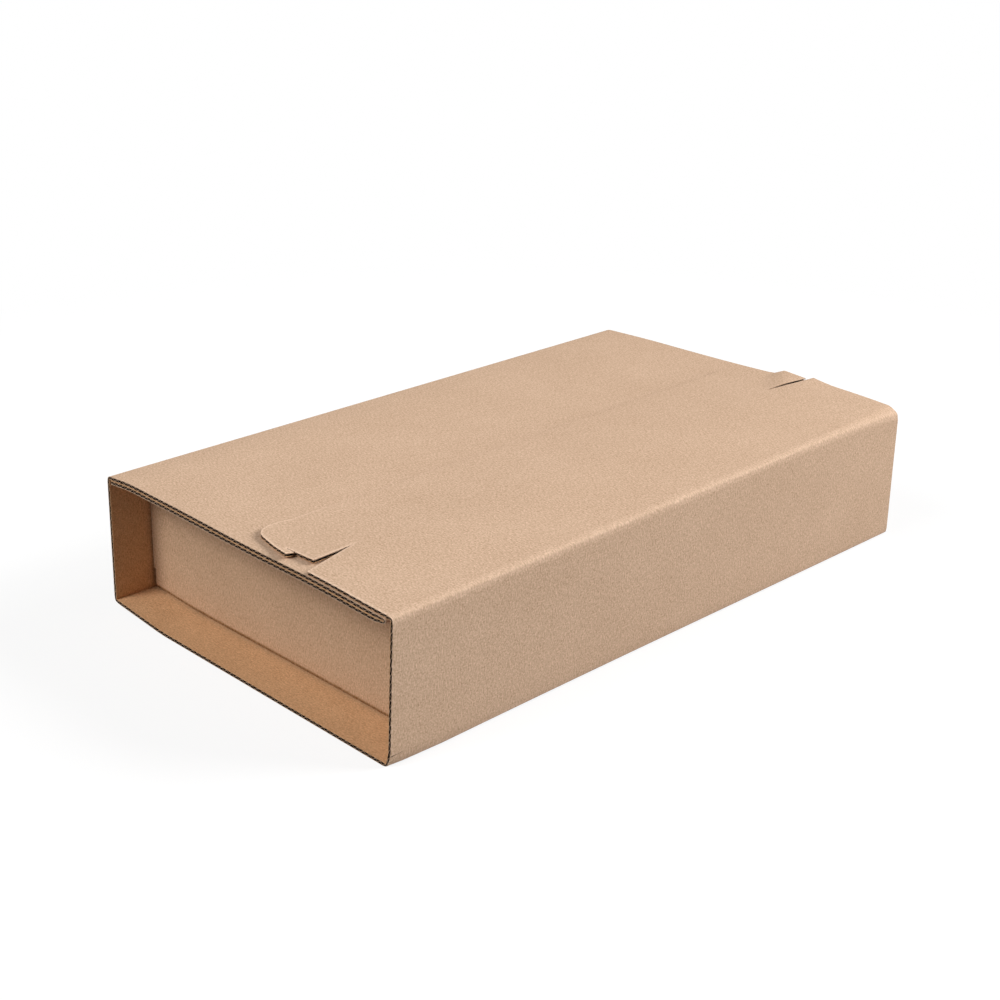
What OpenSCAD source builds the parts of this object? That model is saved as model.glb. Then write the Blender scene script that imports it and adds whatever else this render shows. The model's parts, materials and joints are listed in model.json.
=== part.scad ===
// Book wrap mailer of single-wall corrugated board, shown closed.
// X runs across the mailer, Y along it from the near open end to the far one, Z up.
// The origin is at the middle of the underside. The closing flap is hinged on the +X wall.

/* [Wrap] */
// Width over the two side walls
mailer_w = 176; // [140:1:260]
// Length from one open end to the other
mailer_l = 300; // [220:1:420]
// Height to the top of the inner cover
mailer_h = 58; // [30:0.5:90]
// Outer radius of the folds
fold_r = 1.6; // [0.8:0.1:2.2]
// Space left between two folded layers
layer_gap = 0.15; // [0.05:0.05:0.4]
// Space between the cover's doubled end and the bead of the flap's crease
cover_gap = 0.4; // [0.3:0.1:2]
// Space between the cover's turned-back edge and the left wall
return_gap = 1; // [0.5:0.5:5]

/* [Board] */
// Thickness of the board
board_t = 1.6; // [1.4:0.1:1.9]
// Thickness of each facing
facing_t = 0.25; // [0.15:0.05:0.3]
// Thickness of the wavy middle sheet
medium_t = 0.25; // [0.15:0.05:0.3]
// Distance from one wave of the middle sheet to the next
flute_pitch = 3.3; // [3:0.1:4]
// Stretch of crushed board beside each fold and free edge
crease_w = 1.2; // [0.8:0.1:3]

/* [Closing flap] */
// Length of the flap, from the outer face of its wall to the tip of its tabs
flap_l = 88; // [70:1:130]
// How far the tabs stand out past the flap's straight free edge
tab_step = 1.2; // [0.4:0.1:4]
// Distance from the open end to the start of the straight free edge
tab_l = 24; // [20:0.5:40]
// Radius of the tab's outer corner
tab_r = 9.5; // [4:0.5:12]
// Slope of the tab's end edge
tab_slope = 13; // [5:1:20]
// Length of the tab's end edge, along X
tab_w = 26.5; // [22:0.5:30]
// Distance from the open end to the tab's nearest point
tab_inset = 3.1; // [1:0.1:5]
// Distance from the open end to the slit and the hook
hook_inset = 7.2; // [6.5:0.1:10]
// Width of the slit under the hook
slit_w = 0.4; // [0.3:0.1:1]
// Depth of the slit behind the tab's end edge
slit_depth = 5.5; // [2:0.5:8]
// Distance from the tip of the tab to the corner of the hook
hook_reach = 36.3; // [33:0.1:40]
// Lean of the hook's side edge, along X
hook_lean = 1.5; // [0:0.1:4]
// Distance from the open end to the point of the notch
notch_depth = 27; // [20:0.5:40]
// Width of the notch at the open end, along X
notch_w = 6.6; // [4:0.1:12]
// Trim of the flap at each open end
flap_trim = 0.3; // [0:0.1:2]
// Play between the crease's bead and the top of the wall
hinge_gap = 0.1; // [0.05:0.05:0.3]

/* [Inner sheet] */
// Distance from each open end to the face of the end wall
recess_d = 21.5; // [10:0.5:40]
// Space between the inner sheet and each side wall
side_gap = 0.8; // [0.4:0.1:3]
// Space between the inner sheet's top and the cover
top_gap = 0.2; // [0.1:0.1:2]
// Length of each top return
return_l = 75; // [30:1:90]
// Outer radius of the inner sheet's folds
inner_fold_r = 1.2; // [0.6:0.1:1.8]
// Depth of the relief cut beside the bottom fold of an end wall
relief_w = 1.2; // [0.6:0.1:3]
// Height of that relief cut
relief_h = 8; // [4:0.5:14]

/* [Hidden] */
$fn = 48;
kraft = [0.79, 0.64, 0.49];
kraft_inside = [0.72, 0.56, 0.41];
past = 1;

// Heights of the layers, from the top down
flap_z = mailer_h + layer_gap;
cover_z = mailer_h - board_t;
return_z = cover_z - layer_gap - board_t;
inner_top = return_z - top_gap;

// Crease between the right wall and the closing flap
hinge_x = mailer_w / 2 - board_t;
wall_top = flap_z - board_t - hinge_gap;
cover_end = hinge_x - board_t - cover_gap;
cover_r = board_t + layer_gap / 2;

// Channels of the board: the legs of the wave stand at 45 degrees
channel_h = board_t - 2 * facing_t - medium_t;
channel_narrow = (flute_pitch / 2 - channel_h - medium_t * (sqrt(2) - 1)) / 2;
channel_wide = channel_narrow + channel_h;

// Places on the closing flap: x from the tip of the tabs, y from the open end
free_x = mailer_w / 2 - flap_l;
corner_y = tab_inset + tan(tab_slope) * (tab_w - tab_r) + tab_r / cos(tab_slope);
tab_ramp = (tab_l - corner_y) / 2;

inner_w = mailer_w - 2 * (board_t + side_gap);
end_face = mailer_l / 2 - recess_d;

// One channel of the board, wide side down on the facing
module channel() {
    polygon([
        [-channel_wide, facing_t], [channel_wide, facing_t],
        [channel_narrow, facing_t + channel_h], [-channel_narrow, facing_t + channel_h]
    ]);
}

// The channels of one panel that starts at the origin and runs along x
module channels(run) {
    open_run = run - 2 * crease_w;
    count = floor(open_run / flute_pitch);
    start = (run - (count - 0.5) * flute_pitch) / 2 + flute_pitch / 4;
    for (i = [0 : count - 1]) translate([start + i * flute_pitch, 0]) {
        channel();
        if (i < count - 1) translate([flute_pitch / 2, board_t]) mirror([0, 1]) channel();
    }
}

// What a rounded fold takes off a square corner at the origin
module fold_rounding(r) {
    difference() {
        translate([-past, -past]) square(r + past);
        translate([r, r]) circle(r);
    }
}

// Doubled end of the cover: a half round where the board turns back under itself
module turned_end() {
    translate([cover_end - cover_r, mailer_h - cover_r]) intersection() {
        circle(cover_r);
        translate([0, -cover_r]) square([cover_r, 2 * cover_r]);
    }
}

// Section of the outer wrap: return, cover, left wall, bottom and right wall in one sheet
module wrap_section() {
    left = -mailer_w / 2;
    cover_l = cover_end - cover_r - left;
    return_x = left + board_t + return_gap;
    return_run = cover_end - cover_r - return_x;
    difference() {
        union() {
            translate([left, 0]) square([mailer_w, board_t]);
            translate([left, 0]) square([board_t, mailer_h]);
            translate([hinge_x, 0]) square([board_t, wall_top]);
            translate([left, cover_z]) square([cover_l, board_t]);
            translate([return_x, return_z]) square([return_run, board_t]);
            turned_end();
        }
        translate([left, 0]) fold_rounding(fold_r);
        translate([-left, 0]) mirror([1, 0]) fold_rounding(fold_r);
        translate([left, mailer_h]) mirror([0, 1]) fold_rounding(fold_r);
        translate([left + board_t, 0]) channels(mailer_w - 2 * board_t);
        translate([left, mailer_h - board_t]) rotate(-90) channels(mailer_h - 2 * board_t);
        translate([hinge_x, wall_top]) rotate(-90) channels(wall_top - board_t);
        translate([left + board_t, cover_z]) channels(cover_l - board_t);
        translate([return_x, return_z]) channels(return_run);
    }
}

module outer_wrap() {
    color(kraft)
        rotate([90, 0, 0]) linear_extrude(mailer_l, center = true) wrap_section();
}

// Section of the closing flap, with the round bead of its crease
module flap_section() {
    difference() {
        union() {
            translate([free_x, flap_z]) square([hinge_x - free_x, board_t]);
            translate([hinge_x, flap_z]) circle(board_t);
        }
        translate([free_x, flap_z]) channels(hinge_x - free_x);
    }
}

// Outline of one half of the flap, seen from above, from the open end at y = 0 to the middle
module flap_half() {
    half_l = mailer_l / 2;
    notch_x = hook_reach - hook_lean;
    union() {
        polygon([
            [tab_step, half_l + past],
            [tab_step, tab_l],
            [0, tab_l - tab_ramp],
            [0, corner_y],
            [tab_r * (1 - sin(tab_slope)), corner_y - tab_r * cos(tab_slope)],
            [tab_w, tab_inset],
            [tab_w, hook_inset - slit_w],
            [tab_w - slit_depth, hook_inset - slit_w / 2],
            [tab_w - slit_depth, hook_inset + slit_w / 2],
            [hook_reach, hook_inset],
            [notch_x, notch_depth],
            [notch_x + notch_w, flap_trim],
            [flap_l + past, flap_trim],
            [flap_l + past, half_l + past]
        ]);
        translate([tab_r, corner_y]) circle(tab_r);
    }
}

// Closing flap with a hooked locking tab at each end
module closing_flap() {
    color(kraft) intersection() {
        rotate([90, 0, 0]) linear_extrude(mailer_l, center = true) flap_section();
        translate([free_x, 0, wall_top - past]) linear_extrude(3 * board_t + 2 * past) {
            translate([0, -mailer_l / 2]) flap_half();
            mirror([0, 1]) translate([0, -mailer_l / 2]) flap_half();
        }
    }
}

// Section of the inner sheet along the mailer: bottom panel, two end walls and two top returns
module inner_section() {
    panel_run = 2 * (end_face - board_t);
    wall_run = inner_top - 3 * board_t;
    difference() {
        union() {
            translate([-end_face, board_t]) square([2 * end_face, board_t]);
            for (side = [0, 1]) mirror([side, 0]) {
                translate([end_face - board_t, board_t]) square([board_t, inner_top - board_t]);
                translate([end_face - return_l, inner_top - board_t]) square([return_l, board_t]);
            }
        }
        translate([-panel_run / 2, board_t]) channels(panel_run);
        for (side = [0, 1]) mirror([side, 0]) {
            translate([end_face, board_t]) mirror([1, 0]) fold_rounding(inner_fold_r);
            translate([end_face, inner_top]) rotate(180) fold_rounding(inner_fold_r);
            translate([end_face, 2 * board_t]) rotate(90) channels(wall_run);
            translate([end_face - return_l, inner_top - board_t]) channels(return_l - board_t);
        }
    }
}

module inner_sheet() {
    color(kraft_inside) difference() {
        rotate([90, 0, 90]) linear_extrude(inner_w, center = true) inner_section();
        for (side = [0, 1], end = [0, 1]) mirror([side, 0, 0]) mirror([0, end, 0])
            translate([inner_w / 2 - relief_w, end_face - 2 * board_t, board_t - past])
                cube([relief_w + past, 2 * board_t + past, relief_h + past]);
    }
}

outer_wrap();
closing_flap();
inner_sheet();
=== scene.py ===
"""A closed book wrap mailer of corrugated kraft board, folded from two flat sheets, with its stage."""

import json
from math import cos, pi, radians, sin, tan

import bmesh
import bpy
from bpy.props import FloatProperty, FloatVectorProperty, PointerProperty
from mathutils import Matrix, Vector, noise


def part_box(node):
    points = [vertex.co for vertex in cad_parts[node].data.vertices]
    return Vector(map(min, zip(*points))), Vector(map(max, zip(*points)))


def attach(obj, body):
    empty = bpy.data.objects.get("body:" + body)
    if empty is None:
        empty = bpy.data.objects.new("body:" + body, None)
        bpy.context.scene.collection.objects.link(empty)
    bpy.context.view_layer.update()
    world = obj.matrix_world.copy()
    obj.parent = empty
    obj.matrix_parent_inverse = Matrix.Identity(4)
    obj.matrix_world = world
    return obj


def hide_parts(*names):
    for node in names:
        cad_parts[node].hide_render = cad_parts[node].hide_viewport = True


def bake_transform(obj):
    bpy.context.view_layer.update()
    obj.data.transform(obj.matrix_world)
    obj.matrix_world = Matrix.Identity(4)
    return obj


bl_info = {
    "name": "Book Wrap Mailer",
    "version": (1, 0, 0),
    "blender": (4, 5, 0),
    "location": "3D View > Sidebar > Mailer",
    "description": "Folds a book wrap mailer from flat sheets of fluted kraft board",
    "category": "Add Mesh",
}

MM = 0.001

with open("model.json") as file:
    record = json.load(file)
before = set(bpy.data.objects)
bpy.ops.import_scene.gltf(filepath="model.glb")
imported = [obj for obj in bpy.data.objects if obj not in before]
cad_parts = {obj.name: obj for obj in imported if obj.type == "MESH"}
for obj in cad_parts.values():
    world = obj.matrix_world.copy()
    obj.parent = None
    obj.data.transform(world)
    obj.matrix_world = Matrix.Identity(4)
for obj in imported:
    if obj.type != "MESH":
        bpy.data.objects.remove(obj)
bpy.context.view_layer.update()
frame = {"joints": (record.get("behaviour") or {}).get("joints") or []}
_, WRAP_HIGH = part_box("outer_wrap")
FLAP_LOW, FLAP_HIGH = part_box("closing_flap")
INNER_LOW, INNER_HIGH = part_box("inner_sheet")
HINGE = Vector(frame["joints"][0]["pos_m"])

BOARD = (FLAP_HIGH.z - FLAP_LOW.z) / 2
LAYER_GAP = HINGE.z - WRAP_HIGH.z
HALF_LENGTH = WRAP_HIGH.y
HALF_WIDTH = WRAP_HIGH.x

# Finishes of a board's faces, in the order of its materials; the last is near-black painted shade inside the flutes
OUTSIDE, INSIDE, RAW_EDGE, FLUTE_SHADE = range(4)

# How finely the sheets are cut
FOLD_STEPS = 6
ARC_STEPS = 10
POINTS_PER_WAVE = 8
PANEL_STEP = 5 * MM
FLAP_STEP = 4 * MM
ROW_STEP = 25 * MM
END_ROWS = (2 * MM, 7 * MM)
FINE_ROWS = 40 * MM
CUT_REACH = 2 * MM
CUT_TOLERANCE = 1e-7
SHARP_ANGLE = radians(40)

# How the waves of the middle sheet drift from an even pitch
DRIFT = 0.35
DRIFT_LENGTH = 7 * MM
DRIFT_ROW = 3.1
FLAP_PHASE, CREASE_PHASE, INNER_PHASE = 0.3, 0.15, 0.6

# How far along the board the crease strip reaches on each side of the bend
CREASE_ON_WALL = 1.3 * MM
CREASE_ON_FLAP = 2.2 * MM

# How far folds, cuts, dents and lifts reach
SCORE_WIDTH = 1.6 * MM
CUT_WIDTH = 1.3 * MM
RIM_SHARE = 0.35
PRESSED_WIDTH = 7 * MM
LIFTED_WIDTH = 34 * MM
CRUSHED_HEIGHT = 5 * MM
CRUSHED_WIDTH = 10 * MM
CRUSHED_LENGTH = 14 * MM
DENTED_WIDTH = 5 * MM
DENTED_LENGTH = 40 * MM
NOTCH_REACH = 12 * MM
WAVE_LENGTH = 45 * MM
WALL_WAVE_ROW = 9 * MM
BOW_SCALE = 6.75
HOOK_BEND = 0.4
TIP_BEND = Vector((0.25, -0.97))
TIP_CURVE = 1.3
LIFT_CURVE = 1.5
WAVE_CURVE = 4
END_WALL_CURVE = 3
SIDE_SLACK = 0.1 * MM
HOOK_SLACK = 0.05 * MM

# Wear and painted light: the flap's cut edge is lighter at the near end only, partly rubbed fibres and partly a
# painted highlight
RUBBED_AND_LIT_END = -92 * MM
RUBBED_AND_LIT_FADE = 35 * MM
# Painted light at the folds: the share for the outer sheet's creases (painted highlight) and the inner sheet's folds
# (painted shade), then the strength on each sheet, lighter outside and darker inside
OUTER_CREASE_HIGHLIGHT, INNER_CREASE_SHADE = 0.25, 1.0
OUTER_WEAR_AND_HIGHLIGHT, INNER_PAINTED_SHADE = 0.36, -0.55

# Paper: swing of the brightness by layer, how much red, green and blue follow it, and the surface
CLOUD, MOTTLE, GRAIN, FIBRES, CROSS_FIBRES = 0.04, 0.035, 0.30, 0.14, 0.12
SPECK_DARK = -0.22
SPECK_RANGE = 0.72, 0.78
COLOUR_SWING = (0.85, 1.0, 1.2)
ROUGHNESS = 0.78, 0.9
SPECULAR = 0.18
RELIEF = 0.02 * MM

# Stage: half the floor, its tones, where it turns to plain white, and the lamps' places, sizes and watts
FLOOR_HALF = 4.0
FLOOR_TONE, FLOOR_SHADE, FLOOR_LIFT = 0.35, 0.25, 0.80
FLOOR_FADE = 0.25, 0.5
LAMPS = {
    "right back": ((1.6, 1.6, 1.2), 1.2, 54.0),
    "back right": ((0.8, 1.8, 1.2), 1.2, 19.0),
    "front left": ((-0.6, -1.8, 1.4), 1.0, 24.0),
    "front high": ((-0.2, -1.4, 1.7), 1.0, 12.0),
}


def length_setting(name, text, size):
    """A length in millimetres."""
    return FloatProperty(name=name, description=text, default=size * MM, unit="LENGTH", precision=5)


def lengths_setting(name, text, *sizes):
    """A row of lengths in millimetres."""
    values = [size * MM for size in sizes]
    return FloatVectorProperty(
        name=name, description=text, size=len(sizes), default=values, unit="LENGTH", precision=5
    )


def angle_setting(name, text, degrees):
    return FloatProperty(name=name, description=text, default=radians(degrees), unit="ROTATION")


def share_setting(name, text, value):
    return FloatProperty(name=name, description=text, default=value, subtype="FACTOR")


def colour_setting(name, text, *colour):
    return FloatVectorProperty(name=name, description=text, default=colour, subtype="COLOR")


class MailerBoard(bpy.types.PropertyGroup):
    """Sizes of the board and its folds"""

    facing: length_setting("Facing", "Thickness of each facing", 0.22)
    medium: length_setting("Medium", "Thickness of the wavy middle sheet", 0.25)
    flute_pitch: length_setting("Flute pitch", "Distance from wave to wave", 3.3)
    top_fold: length_setting("Top left fold", "Radius of the board's middle there", 1.0)
    bottom_fold: length_setting("Bottom folds", "Radius of the board's middle there", 0.75)
    crease_fold: length_setting("Flap crease", "Radius of the board's middle there", 0.85)
    inner_fold: length_setting("Inner folds", "Radius of the board's middle there", 0.62)
    cover_gap: length_setting("Cover gap", "From the cover's doubled end to the crease's bead", 0.4)
    return_gap: length_setting("Return gap", "From the cover's return to the left wall", 1.0)
    inner_return: length_setting("Inner return", "Length of each top return of the inner sheet", 75)
    relief_width: length_setting("Relief width", "Depth of the cut beside an end wall's fold", 1.2)
    relief_height: length_setting("Relief height", "Height of the cut beside an end wall's fold", 8)


class MailerTab(bpy.types.PropertyGroup):
    """Sizes of a locking tab, from the tab's tip along X and from the open end along Y"""

    step: length_setting("Step", "How far the tab stands out", 1.2)
    length: length_setting("Length", "Open end to straight free edge", 24)
    radius: length_setting("Radius", "Radius of the outer corner", 8.0)
    slope: angle_setting("Slope", "Slope of the end edge", 13)
    width: length_setting("Width", "Length of the end edge", 26.0)
    inset: length_setting("Inset", "Open end to the nearest point", 2.6)
    hook_inset: length_setting("Hook inset", "Open end to the hook", 7.2)
    slit: length_setting("Slit", "Width of the slit under the hook", 0.8)
    slit_depth: length_setting("Slit depth", "Depth of that slit", 5.0)
    hook_reach: length_setting("Hook reach", "Tip to the hook's corner", 36.3)
    spread: length_setting("Spread", "How far the far hook stands out", 2.4)
    hook_lean: length_setting("Hook lean", "Lean of the hook's side", 1.5)
    notch: length_setting("Notch depth", "Open end to the notch's point", 27)
    notch_width: length_setting("Notch width", "Width of the mouth", 6.6)
    trim: length_setting("Trim", "Open end to the flap's edge", 0.3)


class MailerShape(bpy.types.PropertyGroup):
    """How the folded board departs from flat"""

    near_rise: lengths_setting(
        "Near rise", "Rise of the top at the near end, at even steps from left to right",
        0, 1.3, 1.3, 1.15, 0.9, 0.6, 0.4, 0.42, 0.5, 0.2, -0.45, -0.9,
    )
    far_rise: lengths_setting(
        "Far rise", "Rise of the top at the far end, at even steps from left to right",
        -0.4, 0, 0.35, 0.5, 0.7, 0.95, 1.35, 1.8, 2.1, 1.85, 1.2, 0.2,
    )
    near_left_bottom: lengths_setting("Near left bottom", "Shift of that corner", 1.0, -0.2, 0)
    near_left_top: lengths_setting("Near left top", "Shift of that corner", 0.9, 1.0, 0.75)
    far_left_top: lengths_setting("Far left top", "Shift of that corner", -0.55, -0.4, 0.2)
    near_right_bottom: lengths_setting("Near right bottom", "Shift of that corner", -0.3, -1.0, 0)
    near_right_top: lengths_setting("Near right top", "Shift of that corner", 0.4, 0.45, 0)
    far_right_bottom: lengths_setting("Far right bottom", "Shift of that corner", 0.4, -0.25, 0)
    far_right_top: lengths_setting("Far right top", "Shift of that corner", 0, 0.4, 0.85)
    corner_lift: length_setting("Corner lift", "Rise of the bottom at the near left corner", 2.9)
    end_wall_left: length_setting("End wall left", "How far the near end wall's left side stands forward", 3.3)
    end_wall_right: length_setting("End wall right", "How far its right side stands forward", 1.2)
    fold_gap: length_setting("Fold gap", "Space under the end wall's fold", 0.35)
    pressed_end: share_setting("Pressed end", "Share of its height that the cover's doubled end loses", 0.35)
    wave: length_setting("Wave", "Height of the faint waves in the board", 0.2)
    far_hook_left: length_setting("Far hook left", "Rise of the far hook's slit side", 1.9)
    far_hook_right: length_setting("Far hook right", "Rise of its notch side", 0.8)
    far_notch_lift: length_setting("Far notch", "Rise of the flap beside it", 1.2)
    tip_lift: length_setting("Tip lift", "Rise of the near tab's tip beside the slit", 1.1)
    hook_lift: length_setting("Hook lift", "Rise of the near hook's corner", 0.45)
    dented_corner: length_setting("Dented corner", "How far the far right top corner is pushed down", 2.3)
    bottom_bow: length_setting("Bottom bow", "How far the right bottom fold bows inward", 0.6)
    crushed_corner: length_setting("Crushed corner", "How far the near corner is pushed in", 2.0)
    score_crush: share_setting("Score crush", "Share of its thickness that the board loses at a fold", 0.28)
    cut_crush: share_setting("Cut crush", "Share of its thickness that the flap loses at its cut edge", 0.1)


class MailerFinish(bpy.types.PropertyGroup):
    """Colours of the board, as linear values"""

    outside: colour_setting("Outside", "Outer facing of the wrap", 0.625, 0.430, 0.295)
    inside: colour_setting("Inside", "Inner facing of the wrap", 0.620, 0.362, 0.190)
    inner: colour_setting("Inner sheet", "Facings of the inner sheet", 0.595, 0.385, 0.243)
    edge: colour_setting("Cut edge", "Cut edge of the middle sheet", 0.42, 0.28, 0.19)
    # Near black, not the paper's colour: painted shade inside the flutes, on the middle sheet and on the facings'
    # sides that face it
    hidden: colour_setting("Flute shade", "Middle sheet and the facings' hidden sides", 0.010, 0.005, 0.003)


class MailerStage(bpy.types.PropertyGroup):
    """Camera and surrounding light"""

    place: lengths_setting("Place", "Camera's place", 487.03, -492.18, 322.24)
    yaw: angle_setting("Yaw", "Camera's turn about Z from +Y", -45.446)
    pitch: angle_setting("Pitch", "Camera's tilt below level", 22.736)
    roll: angle_setting("Roll", "Camera's turn about its own line", 0.664)
    lens: FloatProperty(name="Lens", description="Focal length in millimetres", default=62.748)
    sky: FloatProperty(name="Sky", description="Strength of the surrounding light", default=0.04)


def fade(distance, reach):
    """1 at no distance, falling evenly to 0 at the reach."""
    return max(0.0, 1 - distance / reach)


def clamp(value):
    return min(1.0, max(0.0, value))


class FoldPath:
    """The middle line of a folded board in a plane: straight runs joined by round left-hand folds."""

    def __init__(self, start, heading):
        self.parts = []
        self.length = 0.0
        self.point = Vector(start)
        self.heading = heading

    def run(self, length):
        self.parts.append({
            "start": self.length, "end": self.length + length, "point": self.point.copy(),
            "heading": self.heading, "radius": None,
        })
        self.point += length * Vector((cos(self.heading), sin(self.heading)))
        self.length += length

    def fold(self, radius, turn=pi / 2):
        centre = self.point + radius * Vector((-sin(self.heading), cos(self.heading)))
        self.parts.append({
            "start": self.length, "end": self.length + radius * turn, "point": centre,
            "heading": self.heading, "radius": radius,
        })
        self.heading += turn
        self.point = centre + radius * Vector((sin(self.heading), -cos(self.heading)))
        self.length += radius * turn

    def place(self, along, outward):
        """The point in the plane at a distance along the board and a distance outward from its middle."""
        part = next((p for p in self.parts if along <= p["end"]), self.parts[-1])
        heading, radius = part["heading"], part["radius"]
        travel = along - part["start"]
        if radius is None:
            right = Vector((sin(heading), -cos(heading)))
            return part["point"] + travel * Vector((cos(heading), sin(heading))) + outward * right
        heading += travel / radius
        return part["point"] + (radius + outward) * Vector((sin(heading), -cos(heading)))

    def folds(self):
        return [(p["start"], p["end"]) for p in self.parts if p["radius"] is not None]

    def cuts(self, low, high):
        """Where a sheet between two distances is cut so that it can follow the folds and the panels' curves."""
        found = []
        for part in self.parts:
            start, end = max(part["start"], low), min(part["end"], high)
            if end - start < CUT_TOLERANCE:
                continue
            steps = FOLD_STEPS if part["radius"] else max(1, round((end - start) / PANEL_STEP))
            found += [start + (end - start) * i / steps for i in range(steps + 1)]
            if not part["radius"] and steps > 1:
                for inset in (SCORE_WIDTH / 2, SCORE_WIDTH):
                    found += [start + inset, end - inset]
        return sorted({round(f, 7) for f in found if low + CUT_TOLERANCE < f < high - CUT_TOLERANCE})


def plate(low, high, columns=1, rows=1):
    """A flat sheet in the X-Y plane between two corners."""
    bm = bmesh.new()
    bmesh.ops.create_grid(bm, x_segments=columns, y_segments=rows, size=0.5)
    low, high = Vector(low), Vector(high)
    bmesh.ops.scale(bm, vec=(high.x - low.x, high.y - low.y, 1), verts=bm.verts)
    bmesh.ops.translate(bm, vec=((high.x + low.x) / 2, (high.y + low.y) / 2, 0), verts=bm.verts)
    return bm


def knife(bm, point, direction, faces=None):
    """Scores a sheet along a straight line."""
    chosen = bm.faces[:] if faces is None else faces
    edges = {e for f in chosen for e in f.edges}
    verts = {v for f in chosen for v in f.verts}
    bmesh.ops.bisect_plane(
        bm, geom=[*chosen, *edges, *verts], dist=CUT_TOLERANCE,
        plane_co=(point[0], point[1], 0), plane_no=(-direction[1], direction[0], 0),
    )


def inside(outline, point):
    """Whether a point lies in a closed outline."""
    odd = False
    for a, b in zip(outline, outline[1:] + outline[:1]):
        if (a.y > point.y) != (b.y > point.y):
            if point.x < a.x + (point.y - a.y) * (b.x - a.x) / (b.y - a.y):
                odd = not odd
    return odd


def trim(bm, outline, rims=()):
    """Cuts a sheet to a closed outline that runs clockwise, and scores it beside the cut at some distances."""
    for a, b in zip(outline, outline[1:] + outline[:1]):
        low = Vector((min(a.x, b.x) - CUT_REACH, min(a.y, b.y) - CUT_REACH))
        high = Vector((max(a.x, b.x) + CUT_REACH, max(a.y, b.y) + CUT_REACH))
        inward = Vector((b.y - a.y, a.x - b.x)).normalized()
        for inset in (0.0, *rims):
            near = []
            for face in bm.faces:
                xs, ys = [v.co.x for v in face.verts], [v.co.y for v in face.verts]
                if max(xs) > low.x and min(xs) < high.x and max(ys) > low.y and min(ys) < high.y:
                    near.append(face)
            if near:
                knife(bm, a + inset * inward, b - a, near)
    outside = [f for f in bm.faces if not inside(outline, f.calc_center_median())]
    bmesh.ops.delete(bm, geom=outside, context="FACES")


def thicken(bm, thickness, upper, lower, side):
    """Gives a sheet its thickness upward, and its faces their finishes."""
    made = bmesh.ops.extrude_face_region(bm, geom=bm.faces[:])
    moved = [v for v in made["geom"] if isinstance(v, bmesh.types.BMVert)]
    bmesh.ops.translate(bm, vec=(0, 0, thickness), verts=moved)
    bmesh.ops.recalc_face_normals(bm, faces=bm.faces)
    moved = set(moved)
    for face in bm.faces:
        count = sum(v in moved for v in face.verts)
        face.material_index = lower if count == 0 else upper if count == len(face.verts) else side


class FlatBoard:
    """A flat fluted board in the X-Y plane, with the flutes along Y, before it is folded."""

    def __init__(self, low, high, x_cuts, y_cuts, outline=None, rims=()):
        self.low, self.high = low, high
        self.x_cuts, self.y_cuts = x_cuts, y_cuts
        self.outline, self.rims = outline, rims
        self.mesh = bpy.data.meshes.new("board")
        self.bm = bmesh.new()

    def add(self, bm):
        bm.to_mesh(self.mesh)
        bm.free()
        self.bm.from_mesh(self.mesh)

    def facing(self, height, upper, lower):
        """One facing, from a height above the board's middle upward."""
        bm = plate(self.low, self.high)
        for x in self.x_cuts:
            knife(bm, (x, 0), (0, 1))
        for y in self.y_cuts:
            knife(bm, (0, y), (1, 0))
        if self.outline:
            trim(bm, self.outline, self.rims)
        bmesh.ops.translate(bm, vec=(0, 0, height), verts=bm.verts)
        side = INSIDE if upper == FLUTE_SHADE else upper
        thicken(bm, bpy.context.scene.mailer_board.facing, upper, lower, side)
        self.add(bm)

    def flutes(self, phase):
        """The wavy middle sheet between the facings."""
        board = bpy.context.scene.mailer_board
        columns = round((self.high[0] - self.low[0]) / board.flute_pitch * POINTS_PER_WAVE)
        bm = plate(self.low, self.high, columns)
        for y in self.y_cuts:
            knife(bm, (0, y), (1, 0))
        if self.outline:
            trim(bm, self.outline)
        swing = BOARD / 2 - board.facing - board.medium / 2
        for v in bm.verts:
            wave = 2 * pi * (v.co.x / board.flute_pitch + phase)
            drift = DRIFT * noise.noise(Vector((v.co.x / DRIFT_LENGTH, DRIFT_ROW, phase)))
            v.co.z = swing * sin(wave + drift) - board.medium / 2
        # Both faces of the middle sheet are near black, as painted shade inside the flutes; its cut edge keeps the
        # kraft edge colour
        thicken(bm, board.medium, FLUTE_SHADE, FLUTE_SHADE, RAW_EDGE)
        self.add(bm)

    def build(self, phase=0.0):
        board = bpy.context.scene.mailer_board
        self.facing(BOARD / 2 - board.facing, OUTSIDE, FLUTE_SHADE)
        self.facing(-BOARD / 2, FLUTE_SHADE, INSIDE)
        self.flutes(phase)
        return self.bm


def edge_distance(outline, point):
    """Distance of a point from a chain of straight cuts."""
    found = 1.0
    for a, b in zip(outline, outline[1:]):
        along = b - a
        share = clamp((point - a).dot(along) / along.length_squared)
        found = min(found, (point - a - share * along).length)
    return found


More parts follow.
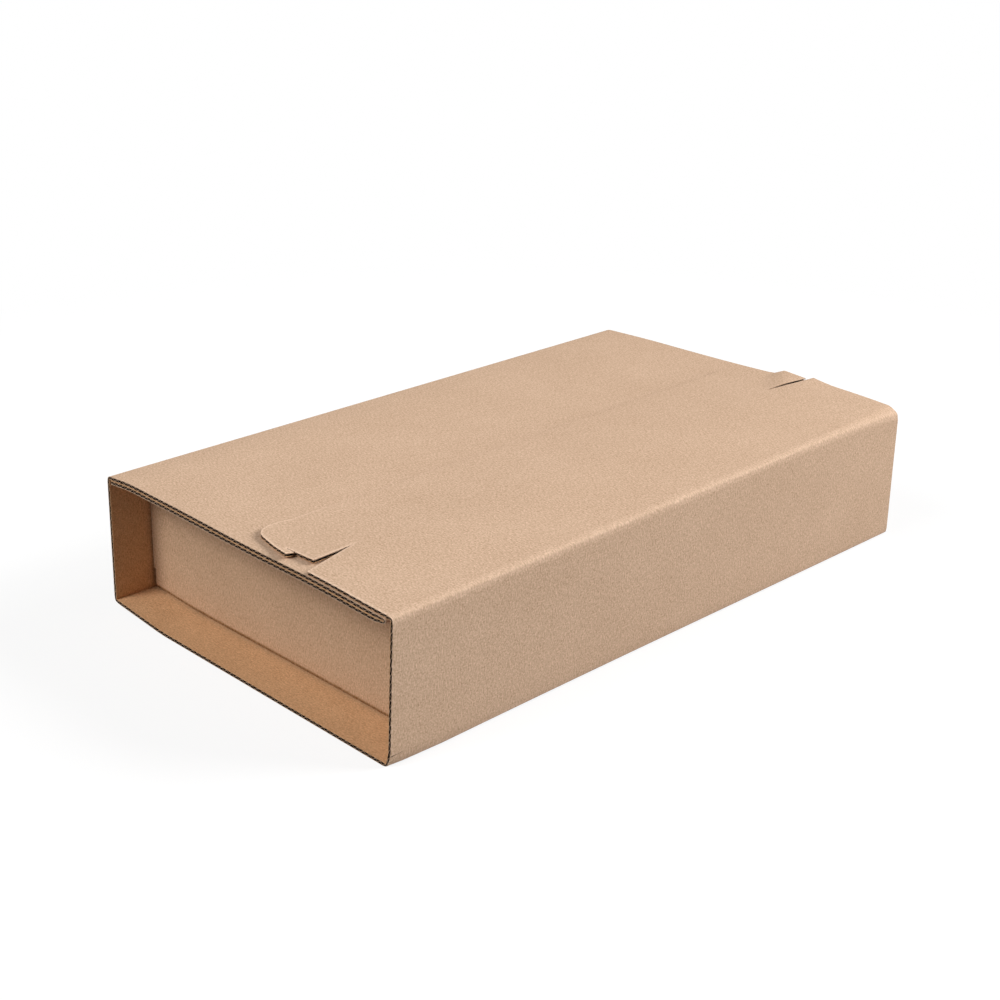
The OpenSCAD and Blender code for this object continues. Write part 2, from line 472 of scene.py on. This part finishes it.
def fold_up(bm, path, to_space, painted_crease_share, cut_edge=None):
    """Folds a flat board along a path, and keeps each point's flat place and its nearness to a fold or cut."""
    shape = bpy.context.scene.mailer_shape
    uv = bm.loops.layers.uv.new("sheet")
    wear_and_shading_mask = bm.verts.layers.float.new("wear_and_shading_mask")
    folds = path.folds()
    for face in bm.faces:
        face.smooth = True
        for loop in face.loops:
            loop[uv].uv = loop.vert.co.xy
    for v in bm.verts:
        along, across, outward = v.co
        away = min([max(start - along, along - end, 0) for start, end in folds], default=1)
        crease = fade(away, SCORE_WIDTH) ** 2
        cut = 0.0
        if cut_edge:
            cut = fade(edge_distance(cut_edge, v.co.xy), CUT_WIDTH)
        # Mask for the painted light: painted highlight or painted shade at the folds, and at the flap's cut edge
        # near the near end, rubbed fibres with a painted highlight
        rubbed_and_lit = clamp((RUBBED_AND_LIT_END - across) / RUBBED_AND_LIT_FADE)
        v[wear_and_shading_mask] = max(painted_crease_share * crease ** 2, cut * rubbed_and_lit)
        thin = (1 - shape.score_crush * crease) * (1 - shape.cut_crush * cut ** 2)
        v.co = to_space(path.place(along, outward * thin), across)
    bmesh.ops.recalc_face_normals(bm, faces=bm.faces)


def along_curve(values, share):
    """A value on the smooth curve through even steps, at a share of the way along them."""
    last = len(values) - 1
    place = clamp(share) * last
    i = min(int(place), last - 1)
    t = place - i
    before, a, b, after = values[max(i - 1, 0)], values[i], values[i + 1], values[min(i + 2, last)]
    bend = 2 * before - 5 * a + 4 * b - after + t * (3 * (a - b) + after - before)
    return a + t * (b - before + t * bend) / 2


def sprung(co):
    """Where a point of the square mailer goes when the board springs back a little and takes its dents."""
    shape = bpy.context.scene.mailer_shape
    x, y, z = co
    far = (y + HALF_LENGTH) / (2 * HALF_LENGTH)
    right = (x + HALF_WIDTH) / (2 * HALF_WIDTH)
    high = min(1.0, z / INNER_HIGH.z)
    rise = along_curve(shape.near_rise, right) * (1 - far) + along_curve(shape.far_rise, right) * far
    waves = noise.noise(Vector((x, y, 0)) / WAVE_LENGTH) * max(0.0, 1 - abs(2 * right - 1) ** WAVE_CURVE)
    z += (rise + shape.wave * waves) * high
    near_left = (1 - high) * Vector(shape.near_left_bottom) + high * Vector(shape.near_left_top)
    near_right = (1 - high) * Vector(shape.near_right_bottom) + high * Vector(shape.near_right_top)
    far_right = (1 - high) * Vector(shape.far_right_bottom) + high * Vector(shape.far_right_top)
    far_left = high * Vector(shape.far_left_top)
    skew = (1 - right) * ((1 - far) * near_left + far * far_left)
    skew += right * ((1 - far) * near_right + far * far_right)
    wall_waves = noise.noise(Vector((y, z, WALL_WAVE_ROW)) / WAVE_LENGTH)
    x += shape.wave * wall_waves * high * (1 - high) * 4

    from_left, from_right = HALF_WIDTH + co.x, HALF_WIDTH - co.x
    from_near, from_far = HALF_LENGTH + co.y, HALF_LENGTH - co.y
    z += shape.corner_lift * fade(from_left, LIFTED_WIDTH) * (1 - far) ** 2 * (1 - high)
    crush = fade(from_near, CRUSHED_LENGTH) * fade(co.z, CRUSHED_HEIGHT) * fade(from_right, CRUSHED_WIDTH)
    x -= shape.crushed_corner * crush
    x -= shape.bottom_bow * right * (1 - high) * BOW_SCALE * far * (1 - far) ** 2
    z -= shape.dented_corner * fade(from_far, DENTED_LENGTH) ** 1.5 * fade(from_right, DENTED_WIDTH) * high
    return Vector((x, y, z)) + skew


def finish_piece(name, bm, materials):
    """Makes an object of a folded board, sprung as the mailer is, with hard shading only at its cut edges."""
    for v in bm.verts:
        v.co = sprung(v.co)
    for edge in bm.edges:
        edge.smooth = len(edge.link_faces) == 2 and edge.calc_face_angle(0) < SHARP_ANGLE
    mesh = bpy.data.meshes.new(name)
    bm.to_mesh(mesh)
    bm.free()
    for material in materials:
        mesh.materials.append(material)
    piece = bpy.data.objects.new(name, mesh)
    bpy.context.scene.collection.objects.link(piece)
    return piece


def row_cuts(half, fine=0.0):
    """Cuts across a board at even steps, with closer ones over a stretch at both ends."""
    count = round(2 * half / ROW_STEP)
    cuts = [-half + 2 * half * i / count for i in range(1, count)]
    for inset in (*END_ROWS, *(FLAP_STEP * i for i in range(1, round(fine / FLAP_STEP) + 1))):
        cuts += [-half + inset, half - inset]
    return sorted(set(cuts))


def outer_path():
    """The outer sheet from the free edge of the cover's return to the tip of the closing flap's tabs."""
    board = bpy.context.scene.mailer_board
    turn_radius = (BOARD + LAYER_GAP) / 2
    cover_end = HINGE.x - BOARD - board.cover_gap - (BOARD + LAYER_GAP / 2)
    cover_middle = WRAP_HIGH.z - BOARD / 2
    wall_middle = HALF_WIDTH - BOARD / 2
    start = -HALF_WIDTH + BOARD + board.return_gap
    path = FoldPath((start, cover_middle - 2 * turn_radius), 0.0)
    path.run(cover_end - start)
    path.fold(turn_radius, pi)
    path.run(cover_end + wall_middle - board.top_fold)
    path.fold(board.top_fold)
    path.run(cover_middle - BOARD / 2 - board.top_fold - board.bottom_fold)
    path.fold(board.bottom_fold)
    path.run(2 * (wall_middle - board.bottom_fold))
    path.fold(board.bottom_fold)
    path.run(HINGE.z + BOARD / 2 - board.crease_fold - BOARD / 2 - board.bottom_fold)
    path.fold(board.crease_fold)
    path.run(wall_middle - board.crease_fold - FLAP_LOW.x)
    return path


def crease_span(path):
    """Start and end of the crease strip along the outer sheet."""
    start, end = path.folds()[-1]
    return start - CREASE_ON_WALL, end + CREASE_ON_FLAP


def outer_space(plane, across):
    return Vector((plane.x, across, plane.y))


def press_doubled_end(bm, path):
    """Presses the cover's doubled end together, as the flap's crease bears on it."""
    pressed = bpy.context.scene.mailer_shape.pressed_end
    turned = path.parts[1]
    end = turned["point"].x + turned["radius"] + BOARD / 2
    top = WRAP_HIGH.z
    for v in bm.verts:
        if v.co.z > top - 3 * BOARD and v.co.x < end + CUT_TOLERANCE:
            v.co.z = top + (v.co.z - top) * (1 - pressed * fade(end - v.co.x, PRESSED_WIDTH))


class MAILER_OT_outer_wrap(bpy.types.Operator):
    """Fold the outer sheet: return, cover, left wall, bottom and right wall"""

    bl_idname = "mailer.outer_wrap"
    bl_label = "Outer wrap"

    def execute(self, context):
        path = outer_path()
        wall_end, _ = crease_span(path)
        low, high = (0.0, -HALF_LENGTH), (wall_end, HALF_LENGTH)
        flat = FlatBoard(low, high, path.cuts(0.0, wall_end), row_cuts(HALF_LENGTH))
        bm = flat.build()
        fold_up(bm, path, outer_space, OUTER_CREASE_HIGHLIGHT)
        press_doubled_end(bm, path)
        piece = finish_piece("outer_wrap_board", bm, board_materials("outer"))
        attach(piece, "wrap")
        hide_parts("outer_wrap")
        return {"FINISHED"}


def tab_outline(path):
    """Outline of the closing flap on the flat sheet, with a hooked locking tab at each end."""
    tab = bpy.context.scene.mailer_tab
    root = crease_span(path)[1]
    corner = tab.inset + tan(tab.slope) * (tab.width - tab.radius) + tab.radius / cos(tab.slope)
    ramp = (tab.length - corner) / 2
    arc = [pi + (pi / 2 - tab.slope) * i / ARC_STEPS for i in range(ARC_STEPS + 1)]
    notch_x = tab.hook_reach - tab.hook_lean
    slit_x = tab.width - tab.slit_depth
    slit_end = [(slit_x, tab.hook_inset - tab.slit / 2), (slit_x, tab.hook_inset)]
    near_cut = [(tab.width, tab.hook_inset - tab.slit), *slit_end, (tab.hook_reach, tab.hook_inset)]
    far_cut = [*slit_end, (tab.width + tab.slit, tab.inset), (tab.hook_reach + tab.spread, tab.inset)]
    ends = []
    for cut in (near_cut, far_cut):
        points = [
            (tab.step, tab.length),
            (0, tab.length - ramp),
            *[(tab.radius * (1 + cos(a)), corner + tab.radius * sin(a)) for a in arc],
            (tab.width, tab.inset),
            *cut,
            (notch_x, tab.notch),
            (notch_x + tab.notch_width, tab.trim),
            (path.length - root, tab.trim),
        ]
        ends.append([Vector((path.length - u, v - HALF_LENGTH)) for u, v in points])
    return ends[0] + [Vector((p.x, -p.y)) for p in reversed(ends[1])]


def flap_lift(co):
    """Rise of the closing flap off the cover, at both hooks, the near tab's tip and the far end's notch."""
    shape, tab = bpy.context.scene.mailer_shape, bpy.context.scene.mailer_tab
    u = co.x - FLAP_LOW.x
    v = HALF_LENGTH - abs(co.y)
    is_far = co.y > 0
    root = Vector((tab.width - tab.slit_depth, tab.hook_inset))
    point = Vector((tab.hook_reach - tab.hook_lean, tab.notch))
    corner = Vector((tab.hook_reach, tab.hook_inset))
    if is_far:
        corner = Vector((tab.hook_reach + tab.spread, tab.inset))
    bend = (point - root).normalized()
    across = Vector((bend.y, -bend.x))
    share = (Vector((u, v)) - root).dot(across) / (corner - root).dot(across)
    side = corner.x + (point.x - corner.x) * (v - corner.y) / (point.y - corner.y) + SIDE_SLACK
    if is_far:
        slit_start = root.x + (tab.width - root.x) * (root.y - v) / (root.y - tab.inset)
        if 0 < share and u < side and (v > root.y or u > slit_start):
            along = clamp((u - tab.width) / (corner.x - tab.width))
            edge = shape.far_hook_left + (shape.far_hook_right - shape.far_hook_left) * along
            return edge * min(1.0, share / HOOK_BEND)
        if u >= side and v < tab.notch:
            beside = fade(max(0.0, u - point.x - tab.notch_width), NOTCH_REACH)
            return shape.far_notch_lift * beside ** LIFT_CURVE * (1 - v / tab.notch)
    elif 0 < share and u < side and v > tab.hook_inset - HOOK_SLACK:
        return shape.hook_lift * share ** LIFT_CURVE
    elif u < tab.width + tab.slit and v < tab.hook_inset - tab.slit / 4:
        away = (Vector((u, v)) - root).dot(TIP_BEND)
        reach = (Vector((tab.width, tab.inset)) - root).dot(TIP_BEND)
        return shape.tip_lift * max(0.0, away / reach) ** TIP_CURVE
    return 0.0


class MAILER_OT_closing_flap(bpy.types.Operator):
    """Cut and lay down the closing flap with its two locking tabs"""

    bl_idname = "mailer.closing_flap"
    bl_label = "Closing flap"

    def execute(self, context):
        path = outer_path()
        start = crease_span(path)[1]
        low, high = (start, -HALF_LENGTH), (path.length, HALF_LENGTH)
        count = round((high[0] - low[0]) / FLAP_STEP)
        x_cuts = [low[0] + (high[0] - low[0]) * i / count for i in range(1, count)]
        outline = tab_outline(path)
        rims = (RIM_SHARE * CUT_WIDTH, CUT_WIDTH)
        flat = FlatBoard(low, high, x_cuts, row_cuts(HALF_LENGTH, FINE_ROWS), outline, rims)
        bm = flat.build(FLAP_PHASE)
        half = len(outline) // 2
        fold_up(bm, path, outer_space, OUTER_CREASE_HIGHLIGHT, cut_edge=outline[half:] + outline[:half])
        for v in bm.verts:
            v.co.z += flap_lift(v.co)
        piece = finish_piece("closing_flap_board", bm, board_materials("outer"))
        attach(piece, "flap")
        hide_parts("closing_flap")
        return {"FINISHED"}


class MAILER_OT_flap_crease(bpy.types.Operator):
    """Join the right wall and the closing flap with board that bends at the crease"""

    bl_idname = "mailer.flap_crease"
    bl_label = "Flap crease"

    def execute(self, context):
        path = outer_path()
        start, end = crease_span(path)
        half = HALF_LENGTH - context.scene.mailer_tab.trim / 2
        low, high = (start, -half), (end, half)
        flat = FlatBoard(low, high, path.cuts(start, end), row_cuts(half))
        bm = flat.build(CREASE_PHASE)
        fold_up(bm, path, outer_space, OUTER_CREASE_HIGHLIGHT)
        piece = finish_piece("flap_crease_board", bm, board_materials("outer"))
        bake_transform(piece)
        return {"FINISHED"}


def inner_path():
    """The inner sheet in the Y-Z plane, from the free edge of the near return to that of the far one."""
    board = bpy.context.scene.mailer_board
    wall_middle = INNER_HIGH.y - BOARD / 2
    top_middle = INNER_HIGH.z - BOARD / 2
    bottom_middle = INNER_LOW.z + BOARD / 2
    start = -(INNER_HIGH.y - board.inner_return)
    path = FoldPath((start, top_middle), pi)
    path.run(wall_middle + start - board.inner_fold)
    path.fold(board.inner_fold)
    path.run(top_middle - bottom_middle - 2 * board.inner_fold)
    path.fold(board.inner_fold)
    path.run(2 * (wall_middle - board.inner_fold))
    path.fold(board.inner_fold)
    path.run(top_middle - bottom_middle - 2 * board.inner_fold)
    path.fold(board.inner_fold)
    path.run(wall_middle + start - board.inner_fold)
    return path


def inner_space(plane, across):
    return Vector((across, plane.x, plane.y))


def inner_outline(path, half):
    """Outline of the inner sheet on the flat, with a relief cut at each end of its two bottom folds."""
    board = bpy.context.scene.mailer_board
    folds = path.folds()
    cuts = [
        (folds[1][0] - board.relief_height, folds[1][1] + BOARD / 2),
        (folds[2][0] - BOARD / 2, folds[2][1] + board.relief_height),
    ]
    side = [(0.0, half)]
    for low, high in cuts:
        side += [(low, half), (low, half - board.relief_width), (high, half - board.relief_width), (high, half)]
    side.append((path.length, half))
    upper = [Vector(p) for p in side]
    return upper + [Vector((p.x, -p.y)) for p in reversed(upper)]


def end_wall_shift(co):
    """How far a point of the inner sheet stands forward, most at the near end wall's left side."""
    shape = bpy.context.scene.mailer_shape
    near = clamp(2 * -co.y / INNER_HIGH.y - 1)
    left = ((INNER_HIGH.x - co.x) / (2 * INNER_HIGH.x)) ** END_WALL_CURVE
    return near * (shape.end_wall_right + (shape.end_wall_left - shape.end_wall_right) * left)


class MAILER_OT_inner_sheet(bpy.types.Operator):
    """Fold the inner sheet: bottom panel, two end walls and two top returns"""

    bl_idname = "mailer.inner_sheet"
    bl_label = "Inner sheet"

    def execute(self, context):
        path = inner_path()
        half = INNER_HIGH.x
        low, high = (0.0, -half), (path.length, half)
        outline = inner_outline(path, half)
        flat = FlatBoard(low, high, path.cuts(0.0, path.length), row_cuts(half), outline)
        bm = flat.build(INNER_PHASE)
        fold_up(bm, path, inner_space, INNER_CREASE_SHADE)
        gap = context.scene.mailer_shape.fold_gap
        for v in bm.verts:
            near_fold = fade(INNER_HIGH.y + v.co.y, PRESSED_WIDTH)
            v.co.z += near_fold * (1 - v.co.z / INNER_HIGH.z) * gap
            v.co.y -= end_wall_shift(v.co)
        piece = finish_piece("inner_sheet_board", bm, board_materials("inner"))
        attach(piece, "wrap")
        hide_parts("inner_sheet")
        return {"FINISHED"}


def add(tree, kind, inputs=None, **settings):
    """A shader node with its settings and its inputs, each a value or another node's output."""
    node = tree.nodes.new(kind)
    for key, value in settings.items():
        setattr(node, key, value)
    for key, value in (inputs or {}).items():
        if isinstance(value, bpy.types.NodeSocket):
            tree.links.new(value, node.inputs[key])
        else:
            node.inputs[key].default_value = value
    return node


def spread(tree, value, low, high):
    """A value around 0.5 turned to the range from low to high."""
    return add(tree, "ShaderNodeMapRange", {"Value": value, "From Min": 0.25, "From Max": 0.75,
                                            "To Min": low, "To Max": high}).outputs["Result"]


def product(tree, *values):
    result = values[0]
    for value in values[1:]:
        result = add(tree, "ShaderNodeMath", {0: result, 1: value}, operation="MULTIPLY").outputs[0]
    return result


def kraft_paper_group():
    """Shader group for uncoated kraft paper: cloudy formation, fine grain, fibres and rare specks."""
    name = "Kraft paper"
    if name in bpy.data.node_groups:
        return bpy.data.node_groups[name]
    tree = bpy.data.node_groups.new(name, "ShaderNodeTree")
    for label, kind, value in (
        ("Tone", "NodeSocketColor", (0.6, 0.4, 0.3, 1)),
        ("Cloud", "NodeSocketFloat", 1.0),
        ("Grain", "NodeSocketFloat", 1.0),
        ("Wear and painted light", "NodeSocketFloat", 0.0),
    ):
        tree.interface.new_socket(label, in_out="INPUT", socket_type=kind).default_value = value
    tree.interface.new_socket("Color", in_out="OUTPUT", socket_type="NodeSocketColor")
    for label in ("Height", "Roughness"):
        tree.interface.new_socket(label, in_out="OUTPUT", socket_type="NodeSocketFloat")
    given = add(tree, "NodeGroupInput")
    sheet = add(tree, "ShaderNodeUVMap", uv_map="sheet").outputs["UV"]
    in_mm = add(tree, "ShaderNodeMapping", {"Vector": sheet, "Scale": (1 / MM, 1 / MM, 1)}).outputs["Vector"]

    def noise_of(per_mm, detail, stretch=(1, 1, 1), turn=0.0):
        place = add(tree, "ShaderNodeMapping", {"Vector": in_mm, "Scale": stretch, "Rotation": (0, 0, turn)})
        return add(tree, "ShaderNodeTexNoise", {"Vector": place.outputs["Vector"], "Scale": per_mm,
                                                "Detail": detail, "Roughness": 0.55}).outputs["Fac"]

    cloud = noise_of(0.03, 4)
    mottle = noise_of(0.16, 2)
    grain = noise_of(1.5, 2)
    fibres = noise_of(0.9, 2, (0.6, 1.7, 1), radians(8))
    cross_fibres = noise_of(0.9, 2, (0.6, 1.7, 1), radians(-58))
    specks = noise_of(1.6, 1)

    def amount(value, socket, size):
        swing = spread(tree, value, -size, size)
        return product(tree, swing, given.outputs[socket])

    total = None
    for part in (
        amount(cloud, "Cloud", CLOUD), amount(mottle, "Cloud", MOTTLE), amount(grain, "Grain", GRAIN),
        amount(fibres, "Grain", FIBRES), amount(cross_fibres, "Grain", CROSS_FIBRES),
    ):
        total = part if total is None else add(tree, "ShaderNodeMath", {0: total, 1: part}).outputs[0]
    low, high = SPECK_RANGE
    speck_mask = add(tree, "ShaderNodeMapRange", {"Value": specks, "From Min": low, "From Max": high})
    speck_dark = product(tree, speck_mask.outputs["Result"], SPECK_DARK)
    total = add(tree, "ShaderNodeMath", {0: total, 1: speck_dark}).outputs[0]
    # Painted light: the mask times its strength paints a highlight or shade at the folds and a lighter, partly
    # rubbed cut edge
    crease = add(tree, "ShaderNodeAttribute", attribute_name="wear_and_shading_mask").outputs["Fac"]
    painted_light_and_wear = product(tree, crease, given.outputs["Wear and painted light"])
    total = add(tree, "ShaderNodeMath", {0: total, 1: painted_light_and_wear}).outputs[0]
    bright = add(
        tree, "ShaderNodeVectorMath", {0: total, 1: COLOUR_SWING, 2: (1, 1, 1)}, operation="MULTIPLY_ADD"
    ).outputs["Vector"]
    colour = add(tree, "ShaderNodeVectorMath", {0: given.outputs["Tone"], 1: bright}, operation="MULTIPLY")
    height = add(tree, "ShaderNodeMath", {0: grain, 1: product(tree, fibres, 0.8)}).outputs[0]
    roughness = spread(tree, fibres, *ROUGHNESS)
    add(tree, "NodeGroupOutput", {"Color": colour.outputs["Vector"], "Height": height, "Roughness": roughness})
    return tree


def paper_material(name, tone, cloud=1.0, grain=1.0, wear_and_painted_light=0.0):
    """A paper finish from the kraft group."""
    if name in bpy.data.materials:
        return bpy.data.materials[name]
    material = bpy.data.materials.new(name)
    material.use_nodes = True
    tree = material.node_tree
    tree.nodes.clear()
    paper = add(tree, "ShaderNodeGroup", node_tree=kraft_paper_group())
    paper.inputs["Tone"].default_value = (*tone, 1)
    paper.inputs["Cloud"].default_value = cloud
    paper.inputs["Grain"].default_value = grain
    paper.inputs["Wear and painted light"].default_value = wear_and_painted_light
    bump = add(tree, "ShaderNodeBump", {"Height": paper.outputs["Height"], "Distance": RELIEF, "Strength": 1.0})
    shader = add(tree, "ShaderNodeBsdfPrincipled", {
        "Base Color": paper.outputs["Color"], "Roughness": paper.outputs["Roughness"],
        "Normal": bump.outputs["Normal"], "Specular IOR Level": SPECULAR,
    })
    add(tree, "ShaderNodeOutputMaterial", {"Surface": shader.outputs["BSDF"]})
    return material


def board_materials(which):
    """The finishes of a board's faces, in the order of the mesh's material indices."""
    finish = bpy.context.scene.mailer_finish
    # The outer sheet's outside is lighter at its creases (painted highlight) and at the flap's cut edge (rubbed
    # fibres and painted highlight); the inner sheet's outside is darker at its folds (painted shade)
    outside, within, wear_and_painted_light = finish.inner, finish.inner, INNER_PAINTED_SHADE
    if which == "outer":
        outside, within, wear_and_painted_light = finish.outside, finish.inside, OUTER_WEAR_AND_HIGHLIGHT
    return [
        paper_material(f"Kraft {which} sheet outside", outside, wear_and_painted_light=wear_and_painted_light),
        paper_material(f"Kraft {which} sheet inside", within, cloud=1.6),
        paper_material("Kraft cut edge", finish.edge, grain=1.5),
        paper_material("Kraft flutes, painted shade", finish.hidden, grain=1.5),
    ]


def camera_axes(yaw, pitch, roll):
    """Right, up and back of a camera from its turn, tilt and roll."""
    forward = Vector((sin(yaw) * cos(pitch), cos(yaw) * cos(pitch), -sin(pitch)))
    right = Vector((cos(yaw), -sin(yaw), 0))
    up = right.cross(forward)
    return (cos(roll) * right + sin(roll) * up, -sin(roll) * right + cos(roll) * up, -forward)


def area_light(name, place, size, power):
    """A soft round lamp that faces the origin."""
    data = bpy.data.lights.new(name, "AREA")
    data.shape = "DISK"
    data.size = size
    data.energy = power
    lamp = bpy.data.objects.new(name, data)
    lamp.location = place
    lamp.rotation_euler = (-Vector(place)).to_track_quat("-Z", "Y").to_euler()
    bpy.context.scene.collection.objects.link(lamp)


def floor_material():
    """A matt pale floor: white to the camera, with the object's shadow, and plain white farther off."""
    material = bpy.data.materials.new("Studio floor")
    material.use_nodes = True
    tree = material.node_tree
    tree.nodes.clear()
    matt = add(tree, "ShaderNodeBsdfDiffuse", {"Color": (FLOOR_TONE, FLOOR_TONE, FLOOR_TONE, 1)})
    shaded = add(tree, "ShaderNodeBsdfDiffuse", {"Color": (FLOOR_SHADE, FLOOR_SHADE, FLOOR_SHADE, 1)})
    glow = add(tree, "ShaderNodeEmission", {"Strength": FLOOR_LIFT})
    near = add(tree, "ShaderNodeAddShader", {0: shaded.outputs[0], 1: glow.outputs[0]})
    white = add(tree, "ShaderNodeEmission", {"Strength": 1.0})
    place = add(tree, "ShaderNodeTexCoord").outputs["Object"]
    distance = add(tree, "ShaderNodeVectorMath", {0: place}, operation="LENGTH").outputs["Value"]
    start, end = FLOOR_FADE
    away = add(tree, "ShaderNodeMapRange", {"Value": distance, "From Min": start, "From Max": end})
    seen = add(tree, "ShaderNodeMixShader", {"Fac": away.outputs["Result"], 1: near.outputs[0], 2: white.outputs[0]})
    to_camera = add(tree, "ShaderNodeLightPath").outputs["Is Camera Ray"]
    mix = add(tree, "ShaderNodeMixShader", {"Fac": to_camera, 1: matt.outputs[0], 2: seen.outputs[0]})
    add(tree, "ShaderNodeOutputMaterial", {"Surface": mix.outputs[0]})
    return material


class MAILER_OT_stage(bpy.types.Operator):
    """Add the pale floor, the soft lights and the camera"""

    bl_idname = "mailer.stage"
    bl_label = "Stage"

    def execute(self, context):
        scene = context.scene
        stage = scene.mailer_stage
        scene.view_settings.view_transform = "Standard"

        bm = bmesh.new()
        bmesh.ops.create_grid(bm, x_segments=1, y_segments=1, size=FLOOR_HALF)
        mesh = bpy.data.meshes.new("floor")
        bm.to_mesh(mesh)
        bm.free()
        mesh.materials.append(floor_material())
        floor = bpy.data.objects.new("floor", mesh)
        scene.collection.objects.link(floor)

        world = bpy.data.worlds.new("Studio")
        world.use_nodes = True
        tree = world.node_tree
        tree.nodes.clear()
        path = add(tree, "ShaderNodeLightPath")
        sky = add(tree, "ShaderNodeBackground", {"Color": (1, 1, 1, 1), "Strength": stage.sky})
        white = add(tree, "ShaderNodeBackground", {"Color": (1, 1, 1, 1), "Strength": 1.0})
        direct = path.outputs["Is Camera Ray"]
        for ray in ("Is Glossy Ray", "Is Transmission Ray"):
            inputs = {0: direct, 1: path.outputs[ray]}
            direct = add(tree, "ShaderNodeMath", inputs, operation="MAXIMUM").outputs[0]
        mix = add(tree, "ShaderNodeMixShader", {"Fac": direct, 1: sky.outputs[0], 2: white.outputs[0]})
        add(tree, "ShaderNodeOutputWorld", {"Surface": mix.outputs[0]})
        scene.world = world

        for name, (place, size, power) in LAMPS.items():
            area_light(name, place, size, power)

        data = bpy.data.cameras.new("camera")
        data.lens = stage.lens
        camera = bpy.data.objects.new("camera", data)
        right, up, back = camera_axes(stage.yaw, stage.pitch, stage.roll)
        turn = Matrix((right, up, back)).transposed().to_4x4()
        camera.matrix_world = Matrix.Translation(stage.place) @ turn
        scene.collection.objects.link(camera)
        scene.camera = camera
        return {"FINISHED"}


class MAILER_PT_panel(bpy.types.Panel):
    """Sizes, finishes and pieces of the mailer"""

    bl_label = "Book Wrap Mailer"
    bl_idname = "MAILER_PT_panel"
    bl_space_type = "VIEW_3D"
    bl_region_type = "UI"
    bl_category = "Mailer"

    def draw(self, context):
        layout = self.layout
        for group in SETTINGS:
            box = layout.box()
            settings = getattr(context.scene, group)
            for name in settings.__annotations__:
                box.prop(settings, name)
        for operator in PIECES:
            layout.operator(operator.bl_idname)


SETTINGS = {
    "mailer_board": MailerBoard,
    "mailer_tab": MailerTab,
    "mailer_shape": MailerShape,
    "mailer_finish": MailerFinish,
    "mailer_stage": MailerStage,
}
PIECES = (
    MAILER_OT_stage,
    MAILER_OT_outer_wrap,
    MAILER_OT_closing_flap,
    MAILER_OT_flap_crease,
    MAILER_OT_inner_sheet,
)


def register():
    for name, group in SETTINGS.items():
        bpy.utils.register_class(group)
        setattr(bpy.types.Scene, name, PointerProperty(type=group))
    for cls in (*PIECES, MAILER_PT_panel):
        bpy.utils.register_class(cls)


def unregister():
    for cls in (MAILER_PT_panel, *reversed(PIECES)):
        bpy.utils.unregister_class(cls)
    for name, group in reversed(list(SETTINGS.items())):
        delattr(bpy.types.Scene, name)
        bpy.utils.unregister_class(group)


def main():
    register()
    bpy.ops.mailer.stage()
    bpy.ops.mailer.outer_wrap()
    bpy.ops.mailer.closing_flap()
    bpy.ops.mailer.flap_crease()
    bpy.ops.mailer.inner_sheet()


if __name__ == "__main__":
    main()
